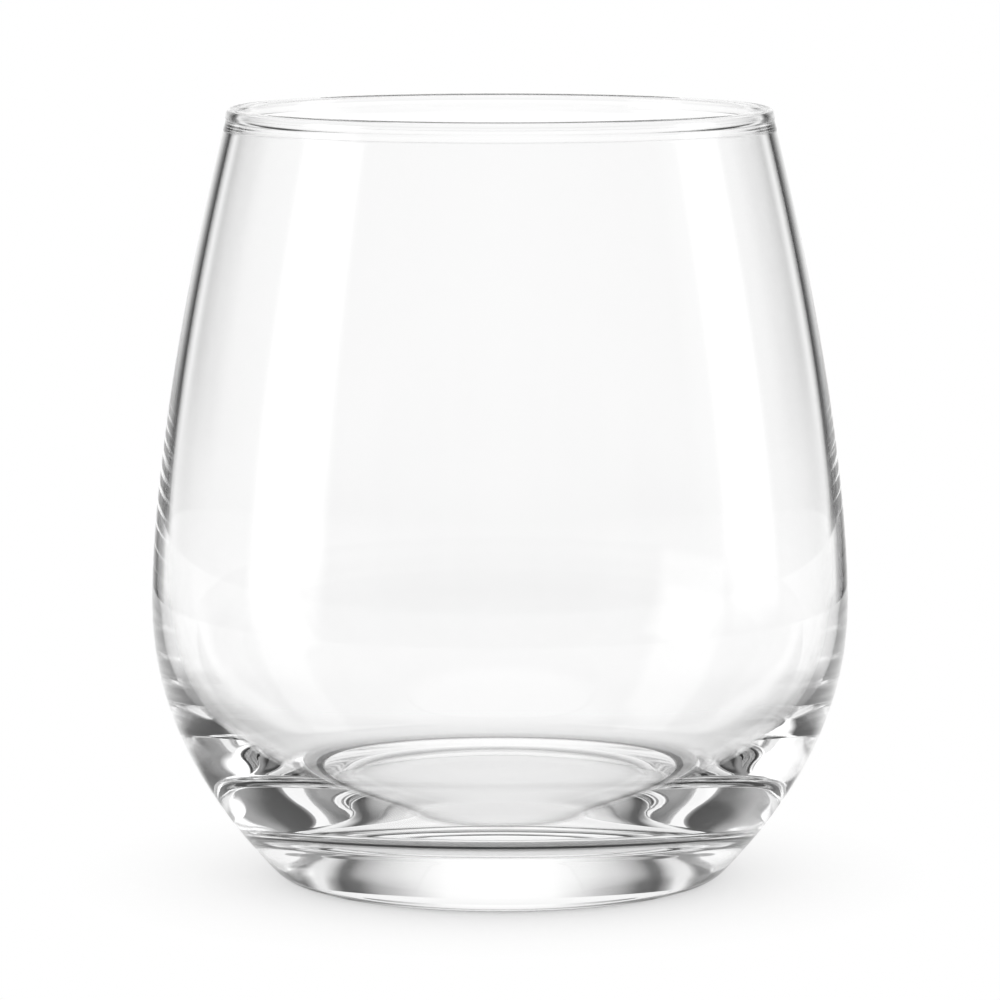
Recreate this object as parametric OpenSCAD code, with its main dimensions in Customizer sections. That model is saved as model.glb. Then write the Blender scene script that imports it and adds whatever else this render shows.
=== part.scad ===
// Stemless wine glass in clear, colourless glass.
// One blown and fire-polished piece, turned about its upright axis, standing on the table at height zero.
// The outline runs from the punt under the base, out over the foot, up the outside, over the rim bead
// and down the inside to the middle of the cup's floor.

/* [Overall] */
// Height of the glass, from the table to the top of the rim
glass_h = 100; // [85:1:125]
// Outer diameter at the widest part of the belly
belly_d = 90.3; // [84:0.1:104]
// Height of the widest part of the belly above the table
belly_z = 36; // [30:0.5:42]

/* [Rim] */
// Outer diameter of the mouth, across the rim bead
mouth_d = 70.7; // [60:0.1:82]
// Thickness of the wall just below the rim bead
rim_wall = 1.15; // [0.8:0.05:2]
// How much thicker the rim bead is than the wall below it
bead_extra = 0.35; // [0.1:0.05:1]
// Height of the rim bead
bead_h = 2; // [1.6:0.1:3.5]
// Inward lean of the wall at the rim, in degrees from upright
rim_lean = 14; // [6:1:20]

/* [Cup] */
// Thickness of the wall at the widest part of the cup
belly_wall = 1.9; // [1.2:0.1:3]
// Height of the cup's widest part above the belly's
cup_rise = 3; // [0:0.5:5]
// Inner diameter where the cup's wall turns into its floor
heel_d = 68.6; // [64:0.1:70]
// Height of that turn above the middle of the floor
heel_h = 4.5; // [3.5:0.1:6]
// Slope of the cup's wall at that turn, in degrees from level
heel_slope = 46; // [40:1:50]
// Height of the middle of the cup's floor above the table
floor_z = 10.8; // [8:0.1:12]
// Diameter of the flat middle of the cup's floor
flat_d = 22; // [10:0.5:30]

/* [Foot] */
// Outer diameter of the flat ring that the glass stands on
foot_d = 52.4; // [46:0.1:56]
// Radius of the rounding between that ring and the wall
foot_round = 5; // [3:0.1:8]
// Slope of the wall where that rounding ends, in degrees from level
foot_slope = 47; // [40:1:52]
// Width of the flat ring
ring_w = 1.5; // [1:0.1:4]
// Height of the hollow under the middle of the base
punt_h = 3.5; // [0.5:0.1:4.5]

/* [Hidden] */
$fn = 120;

// Straight runs in each long curve of the outline, and in each short one
long_steps = 40;
short_steps = 16;

// Handles of the curves, as shares of the height that each curve climbs
belly_up_share = 0.178;
rim_share = 0.489;
belly_down_share = 0.287;
foot_share = 0.521;
cup_up_share = 0.206;
cup_rim_share = 0.504;
cup_down_share = 0.58;
heel_share = 0.23;
// Handles of the floor's curve, as shares of the heel's radius and of the width of that curve
heel_floor_share = 0.36;
floor_share = 0.67;
// The punt falls from its middle by this power of the radius: the higher, the flatter its middle
punt_power = 4;

// The rim bead is an ellipse that leans with the wall
bead_w = rim_wall + bead_extra;
bead_reach = norm([bead_w * cos(rim_lean), bead_h * sin(rim_lean)]) / 2;
bead_top = norm([bead_h * cos(rim_lean), bead_w * sin(rim_lean)]) / 2;
bead_centre = [mouth_d / 2 - bead_reach, glass_h - bead_top];
// Where the wall's two faces run into the bead, as an angle below the bead's widest line
neck_angle = acos(rim_wall / bead_w);

// Corners that the curves run between, as [radius, height]
belly = [belly_d / 2, belly_z];
cup = [belly_d / 2 - belly_wall, belly_z + cup_rise];
heel = [heel_d / 2, floor_z + heel_h];
flat_edge = [flat_d / 2, floor_z];
foot_centre = [foot_d / 2, foot_round];
foot_end = foot_centre + foot_round * heading(foot_slope - 90);
ring_edge = [foot_d / 2 - ring_w, 0];
neck_out = bead_point(-neck_angle);
neck_in = bead_point(180 + neck_angle);

up = [0, 1];
wall_down = heading(rim_lean - 90);

// Unit vector at an angle above the outward direction
function heading(angle) = [cos(angle), sin(angle)];

// Point of the rim bead at an angle about its centre
function bead_point(angle) =
    bead_centre
    + bead_w / 2 * cos(angle) * heading(rim_lean)
    + bead_h / 2 * sin(angle) * heading(rim_lean + 90);

// Points of a smooth curve from a to d with handles b and c, without its first point
function curve(a, b, c, d, steps) = [
    for (i = [1 : steps])
        let (t = i / steps, s = 1 - t)
            s * s * s * a + 3 * s * s * t * b + 3 * s * t * t * c + t * t * t * d
];

function foot_corner() = [
    for (i = [0 : short_steps])
        foot_centre + foot_round * heading((foot_slope * i / short_steps) - 90)
];

function bead_round() = [
    for (i = [1 : 2 * short_steps])
        bead_point((180 + 2 * neck_angle) * i / (2 * short_steps) - neck_angle)
];

function outer_face() =
    let (low = belly[1] - foot_end[1], high = neck_out[1] - belly[1])
        concat(
            curve(
                foot_end, foot_end + foot_share * low * heading(foot_slope),
                belly - belly_down_share * low * up, belly, long_steps
            ),
            curve(
                belly, belly + belly_up_share * high * up,
                neck_out + rim_share * high * wall_down, neck_out, long_steps
            )
        );

function inner_face() =
    let (low = cup[1] - heel[1], high = neck_in[1] - cup[1])
        concat(
            curve(
                neck_in, neck_in + cup_rim_share * high * wall_down,
                cup + cup_up_share * high * up, cup, long_steps
            ),
            curve(
                cup, cup - cup_down_share * low * up,
                heel + heel_share * low * heading(heel_slope), heel, long_steps
            )
        );

function cup_floor() =
    concat(
        curve(
            heel, heel - heel_floor_share * heel[0] * heading(heel_slope),
            [flat_edge[0] + floor_share * (heel[0] - flat_edge[0]), floor_z], flat_edge, long_steps
        ),
        [[0, floor_z]]
    );

function punt() = [
    for (i = [1 : long_steps])
        let (t = i / long_steps)
            [ring_edge[0] * t, punt_h * (1 - pow(t, punt_power))]
];

// The whole glass, as its outline turned about the upright axis
module glass_body() {
    color("aliceblue", 0.5)
        rotate_extrude()
            polygon(concat(
                [[0, punt_h]], punt(), foot_corner(), outer_face(),
                bead_round(), inner_face(), cup_floor()
            ));
}

glass_body();
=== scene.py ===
"""A stemless wine glass in clear glass, on a pale floor in soft studio light. Sizes are in metres."""
from math import acos, cos, hypot, pi, radians, sin

import bpy
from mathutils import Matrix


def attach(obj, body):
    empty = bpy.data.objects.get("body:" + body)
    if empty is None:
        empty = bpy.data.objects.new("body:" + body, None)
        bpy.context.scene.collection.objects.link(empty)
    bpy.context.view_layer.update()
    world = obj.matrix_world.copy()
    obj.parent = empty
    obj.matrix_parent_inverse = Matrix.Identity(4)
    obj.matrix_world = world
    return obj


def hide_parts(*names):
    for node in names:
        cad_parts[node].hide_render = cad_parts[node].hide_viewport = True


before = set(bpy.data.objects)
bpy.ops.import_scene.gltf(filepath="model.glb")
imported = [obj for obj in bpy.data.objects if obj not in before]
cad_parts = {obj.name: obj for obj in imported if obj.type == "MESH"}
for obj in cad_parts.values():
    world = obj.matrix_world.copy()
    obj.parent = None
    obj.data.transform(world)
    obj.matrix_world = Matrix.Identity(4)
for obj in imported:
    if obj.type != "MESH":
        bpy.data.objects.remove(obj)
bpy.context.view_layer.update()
MM = 0.001

# The glass, as the CAD outline has it
GLASS_H = 100 * MM
BELLY_D, BELLY_Z = 90.3 * MM, 36 * MM
MOUTH_D, RIM_WALL, RIM_LEAN = 70.7 * MM, 1.15 * MM, radians(14)
BEAD_W, BEAD_H = RIM_WALL + 0.35 * MM, 2 * MM
BELLY_WALL, CUP_RISE = 1.9 * MM, 3 * MM
FLOOR_Z, FLAT_D = 10.8 * MM, 22 * MM
HEEL_D, HEEL_Z, HEEL_SLOPE = 68.6 * MM, FLOOR_Z + 4.5 * MM, radians(46)
FOOT_D, FOOT_ROUND, FOOT_SLOPE = 52.4 * MM, 5 * MM, radians(47)
RING_W, PUNT_H, PUNT_POWER = 1.5 * MM, 3.5 * MM, 4
# Handles of the outer curves, as shares of the height that each curve climbs
FOOT_SHARE, BELLY_DOWN_SHARE, BELLY_UP_SHARE, RIM_SHARE = 0.521, 0.287, 0.178, 0.489
# Handles of the inner curves, the same way
CUP_RIM_SHARE, CUP_UP_SHARE, CUP_DOWN_SHARE, HEEL_SHARE = 0.504, 0.206, 0.58, 0.23
# Handles of the cup floor's curve, as shares of the heel's radius and of the curve's width
HEEL_FLOOR_SHARE, FLOOR_SHARE = 0.36, 0.67

# Mesh detail: straight runs in a long curve and in a short one, and steps around the axis
LONG_STEPS, SHORT_STEPS, AROUND = 60, 14, 240


def heading(angle, length=1.0):
    """A step of this length at an angle above the outward direction, as (radius, height)."""
    return length * cos(angle), length * sin(angle)


def add(*points):
    return sum(p[0] for p in points), sum(p[1] for p in points)


def curve(a, b, c, d, steps=LONG_STEPS):
    """Points of a smooth curve from a to d with handles b and c, without its first point."""
    for i in range(1, steps + 1):
        t = i / steps
        s = 1 - t
        w = (s * s * s, 3 * s * s * t, 3 * s * t * t, t * t * t)
        yield tuple(w[0] * a[k] + w[1] * b[k] + w[2] * c[k] + w[3] * d[k] for k in (0, 1))


def glass_outline():
    """The outline from the punt, over the foot, up the wall, over the rim and down to the cup's floor."""
    bead_reach = hypot(BEAD_W * cos(RIM_LEAN), BEAD_H * sin(RIM_LEAN)) / 2
    bead_top = hypot(BEAD_H * cos(RIM_LEAN), BEAD_W * sin(RIM_LEAN)) / 2
    bead_centre = (MOUTH_D / 2 - bead_reach, GLASS_H - bead_top)
    neck_angle = acos(RIM_WALL / BEAD_W)

    def bead_point(angle):
        across = heading(RIM_LEAN, BEAD_W / 2 * cos(angle))
        along = heading(RIM_LEAN + pi / 2, BEAD_H / 2 * sin(angle))
        return add(bead_centre, across, along)

    neck_out, neck_in = bead_point(-neck_angle), bead_point(pi + neck_angle)
    belly = (BELLY_D / 2, BELLY_Z)
    cup = (BELLY_D / 2 - BELLY_WALL, BELLY_Z + CUP_RISE)
    heel = (HEEL_D / 2, HEEL_Z)
    flat_edge = (FLAT_D / 2, FLOOR_Z)
    foot_centre = (FOOT_D / 2, FOOT_ROUND)
    foot_end = add(foot_centre, heading(FOOT_SLOPE - pi / 2, FOOT_ROUND))
    ring_edge = (FOOT_D / 2 - RING_W, 0)
    out_low, out_high = BELLY_Z - foot_end[1], neck_out[1] - BELLY_Z
    in_low, in_high = cup[1] - HEEL_Z, neck_in[1] - cup[1]

    points = [(0, PUNT_H)]
    steps = [i / LONG_STEPS for i in range(1, LONG_STEPS + 1)]
    points += [(ring_edge[0] * t, PUNT_H * (1 - t ** PUNT_POWER)) for t in steps]
    turn = FOOT_SLOPE / SHORT_STEPS
    points += [add(foot_centre, heading(i * turn - pi / 2, FOOT_ROUND)) for i in range(SHORT_STEPS + 1)]
    points += curve(foot_end, add(foot_end, heading(FOOT_SLOPE, FOOT_SHARE * out_low)),
                    (belly[0], belly[1] - BELLY_DOWN_SHARE * out_low), belly)
    points += curve(belly, (belly[0], belly[1] + BELLY_UP_SHARE * out_high),
                    add(neck_out, heading(RIM_LEAN - pi / 2, RIM_SHARE * out_high)), neck_out)
    turn = (pi + 2 * neck_angle) / (2 * SHORT_STEPS)
    points += [bead_point(i * turn - neck_angle) for i in range(1, 2 * SHORT_STEPS + 1)]
    points += curve(neck_in, add(neck_in, heading(RIM_LEAN - pi / 2, CUP_RIM_SHARE * in_high)),
                    (cup[0], cup[1] + CUP_UP_SHARE * in_high), cup)
    points += curve(cup, (cup[0], cup[1] - CUP_DOWN_SHARE * in_low),
                    add(heel, heading(HEEL_SLOPE, HEEL_SHARE * in_low)), heel)
    floor_in = FLOOR_SHARE * (heel[0] - flat_edge[0])
    points += curve(heel, add(heel, heading(HEEL_SLOPE, -HEEL_FLOOR_SHARE * heel[0])),
                    (flat_edge[0] + floor_in, FLOOR_Z), flat_edge)
    points.append((0, FLOOR_Z))
    return points


def lathe(name, outline):
    """A closed mesh from an outline that starts and ends on the axis, turned about it."""
    rings = outline[1:-1]
    verts = [(0, 0, outline[0][1]), (0, 0, outline[-1][1])]
    turn = 2 * pi / AROUND
    verts += [(r * cos(j * turn), r * sin(j * turn), z) for r, z in rings for j in range(AROUND)]
    first, last = 2, 2 + (len(rings) - 1) * AROUND
    faces = []
    for j in range(AROUND):
        k = (j + 1) % AROUND
        faces.append((0, first + k, first + j))
        faces.append((1, last + j, last + k))
        for i in range(len(rings) - 1):
            low, high = 2 + i * AROUND, 2 + (i + 1) * AROUND
            faces.append((low + j, low + k, high + k, high + j))
    mesh = bpy.data.meshes.new(name)
    mesh.from_pydata(verts, [], faces)
    mesh.shade_smooth()
    piece = bpy.data.objects.new(name, mesh)
    bpy.context.scene.collection.objects.link(piece)
    return piece


def clear_glass():
    """Colourless soda-lime glass."""
    material = bpy.data.materials.new("clear_glass")
    material.use_nodes = True
    shader = material.node_tree.nodes["Principled BSDF"]
    shader.inputs["Base Color"].default_value = (1, 1, 1, 1)
    shader.inputs["Roughness"].default_value = 0
    shader.inputs["IOR"].default_value = 1.52
    shader.inputs["Transmission Weight"].default_value = 1
    return material


glass = lathe("glass_wall", glass_outline())
glass.data.materials.append(clear_glass())
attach(glass, "root")
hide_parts("glass_body")


class Shading:
    """Short ways to add nodes to a node tree; each one returns the new node's output."""

    def __init__(self, tree):
        self.tree = tree

    def add(self, kind, *values, output=0, **settings):
        node = self.tree.nodes.new("ShaderNode" + kind)
        for name, value in settings.items():
            setattr(node, name, value)
        for socket, value in zip(node.inputs, values):
            if isinstance(value, bpy.types.NodeSocket):
                self.tree.links.new(value, socket)
            elif value is not None:
                socket.default_value = value
        return node.outputs[output] if node.outputs else node

    def math(self, operation, *values):
        return self.add("Math", *values, operation=operation)

    def step(self, value, start, end):
        """Rises smoothly from 0 to 1 as the value goes from start to end."""
        return self.add("MapRange", value, start, end, 0, 1, interpolation_type="SMOOTHSTEP")

    def band(self, value, low, high, soft):
        """1 between low and high, with soft edges."""
        rise = self.step(value, low - soft, low + soft)
        fall = self.step(value, high - soft, high + soft)
        return self.math("SUBTRACT", rise, fall)

    def levels(self, value, stops, top):
        """The level at a value between 0 and top, from (value, level) stops."""
        ramp = self.tree.nodes.new("ShaderNodeValToRGB")
        elements = ramp.color_ramp.elements
        while len(elements) < len(stops):
            elements.new(1)
        for element, (place, level) in zip(elements, stops):
            element.position = place / top
            element.color = (level, level, level, 1)
        self.tree.links.new(self.math("DIVIDE", value, top), ramp.inputs[0])
        return ramp.outputs[0]


# Degrees from straight behind the glass to straight in front of it
HALF_TURN = 180
# What the glass mirrors and bends: the level of the surroundings, by degrees from straight behind it.
# A white backdrop with a dark gap on each side, as it looks low down and higher up
BACKDROP_LEVELS = ((0, 1.04), (8, 1.02), (12, 0.82), (16, 0.6), (20, 0.4), (24, 0.1), (29, 0.03), (32, 0.35),
                   (35, 0.95), (38, 0.9))
HIGH_BACKDROP_LEVELS = ((0, 1.04), (8, 1.02), (14, 0.87), (19, 0.7), (24, 0.39), (27, 0.08), (29, 0.08),
                        (32, 0.6), (35, 0.9), (40, 1), (43, 0.4), (46, 0.03))
# The darker room beside it
ROOM_LEVELS = ((60, 0.03), (68, 0.3), (104, 0.3), (112, 0.05))
# From the pale table's end up: each band starts softly between two heights, in degrees above level, and lies
# over the one below it. The last one is the ceiling.
TABLE_END_LEVEL = 0.96
BANDS = (
    ((-11, -8), BACKDROP_LEVELS + ((46, 0.55), (180, 0.55))),
    ((-4, 2), BACKDROP_LEVELS + ((41, 0.35), (44, 0.03)) + ROOM_LEVELS + ((180, 0.05),)),
    ((6, 12), HIGH_BACKDROP_LEVELS + ROOM_LEVELS + ((180, 0.1),)),
    ((60, 70), ((0, 1), (180, 1))),
)
# Long soft boxes, as (from, to) in degrees around and (from, to) in degrees up
BOXES = (((-119, -90), (-6, 30)), ((77, 99), (-6, 30)))
BOX_LEVEL, BOX_EDGE = 1.3, 3

# How much of the floor is real, shaded floor and not the plain white of the backdrop, by distance in
# millimetres: as the eye sees it, and as the glass does
EYE_SHADE_SHARES = ((0, 0.5), (26, 0.6), (29, 0.4), (33, 0.27), (40, 0.15), (48, 0.06), (56, 0))
GLASS_SHADE_SHARES = ((0, 0.3), (22, 0.4), (24, 1), (28, 1), (33, 0.5), (50, 0.2), (60, 0))
FLOOR_R, FLOOR_COLOUR = 0.3, 0.93
# The floor's level as the glass sees it
FLOOR_LEVEL = 1.02
# A painted shade at the floor's sides that only the glass's rays see, between two distances in millimetres
# and softly edged, with its levels by degrees from straight behind
PAINTED_SIDE_SHADE, PAINTED_SIDE_SHADE_EDGE = (46, 90), 14
PAINTED_SIDE_SHADE_LEVELS = ((0, 1), (44, 1), (60, 0.35), (115, 0.35), (140, 0.8), (180, 0.8))


def angle_aside(to, x, y):
    """Degrees from straight behind the glass, to either side."""
    return to.math("ABSOLUTE", to.math("DEGREES", to.math("ARCTAN2", x, y)))


def seen_through_glass(to):
    """1 for the glass's own rays, and 0 for the camera's and the floor's."""
    rays = to.add("LightPath").node.outputs
    return to.math("MAXIMUM", rays["Is Glossy Ray"], rays["Is Transmission Ray"])


def pale_floor():
    """White, with the real shade of the glass near it, and a painted shade at the sides that only the glass
    sees.
    """
    material = bpy.data.materials.new("pale_floor")
    material.use_nodes = True
    tree = material.node_tree
    tree.nodes.clear()
    to = Shading(tree)
    place = to.add("NewGeometry")
    x, y, _ = to.add("SeparateXYZ", place).node.outputs
    distance = to.math("DIVIDE", to.add("VectorMath", place, operation="LENGTH", output=1), MM)
    by_glass = seen_through_glass(to)
    # Painted shade: the floor's glow, as the glass's rays see it, is darker at the sides between two
    # distances
    painted_side_shade_mask = to.band(distance, *PAINTED_SIDE_SHADE, PAINTED_SIDE_SHADE_EDGE)
    painted_side_shade_level = to.levels(angle_aside(to, x, y), PAINTED_SIDE_SHADE_LEVELS, HALF_TURN)
    level = to.add("Mix", painted_side_shade_mask, None, FLOOR_LEVEL, painted_side_shade_level)
    white = to.add("Emission", to.add("Mix", by_glass, None, 1.0, level), 1)
    pale = to.add("BsdfDiffuse", (FLOOR_COLOUR, FLOOR_COLOUR, FLOOR_COLOUR, 1))
    eye_shade = to.levels(distance, EYE_SHADE_SHARES, FLOOR_R / MM)
    glass_shade = to.levels(distance, GLASS_SHADE_SHARES, FLOOR_R / MM)
    shade = to.add("Mix", by_glass, None, eye_shade, glass_shade)
    to.add("OutputMaterial", to.add("MixShader", shade, white, pale))
    return material


def floor():
    turn = 2 * pi / AROUND
    rim = [(FLOOR_R * cos(j * turn), FLOOR_R * sin(j * turn), 0) for j in range(AROUND)]
    mesh = bpy.data.meshes.new("floor")
    mesh.from_pydata(rim, [], [range(AROUND)])
    mesh.materials.append(pale_floor())
    disc = bpy.data.objects.new("floor", mesh)
    bpy.context.scene.collection.objects.link(disc)


def studio():
    """White for the eye and for the floor's light; the glass's own rays see the studio around it."""
    world = bpy.data.worlds.new("studio")
    bpy.context.scene.world = world
    world.use_nodes = True
    tree = world.node_tree
    tree.nodes.clear()
    to = Shading(tree)
    x, y, z = to.add("SeparateXYZ", to.add("TexCoord")).node.outputs
    around = to.math("DEGREES", to.math("ARCTAN2", x, y))
    up = to.math("DEGREES", to.math("ARCSINE", z))
    aside = angle_aside(to, x, y)
    level = TABLE_END_LEVEL
    for start, stops in BANDS:
        level = to.add("Mix", to.step(up, *start), None, level, to.levels(aside, stops, HALF_TURN))
    for (left, right), (low, high) in BOXES:
        box = to.math("MULTIPLY", to.band(around, left, right, BOX_EDGE), to.band(up, low, high, BOX_EDGE))
        level = to.math("MULTIPLY_ADD", box, BOX_LEVEL, level)
    shown = to.add("Mix", seen_through_glass(to), None, 1.0, level)
    to.add("OutputWorld", to.add("Background", shown, 1))


floor()
studio()

# The camera of the photograph: its place, how far it looks down, and its lens and sensor in millimetres
CAMERA_PLACE, CAMERA_DOWN = (0, -0.739, 0.1397), radians(6.99)
LENS, SENSOR = 206.64, 36
# Light goes up the wall and around the foot by many inner reflections
BOUNCES = 64


def photograph():
    camera = bpy.data.objects.new("camera", bpy.data.cameras.new("camera"))
    camera.data.sensor_width = SENSOR
    camera.data.lens = LENS
    camera.data.clip_start = 0.01
    camera.data.clip_end = 50
    camera.location = CAMERA_PLACE
    camera.rotation_euler = (pi / 2 - CAMERA_DOWN, 0, 0)
    scene = bpy.context.scene
    scene.collection.objects.link(camera)
    scene.camera = camera
    scene.view_settings.view_transform = "Standard"
    for limit in ("max_bounces", "glossy_bounces", "transmission_bounces"):
        setattr(scene.cycles, limit, BOUNCES)


photograph()
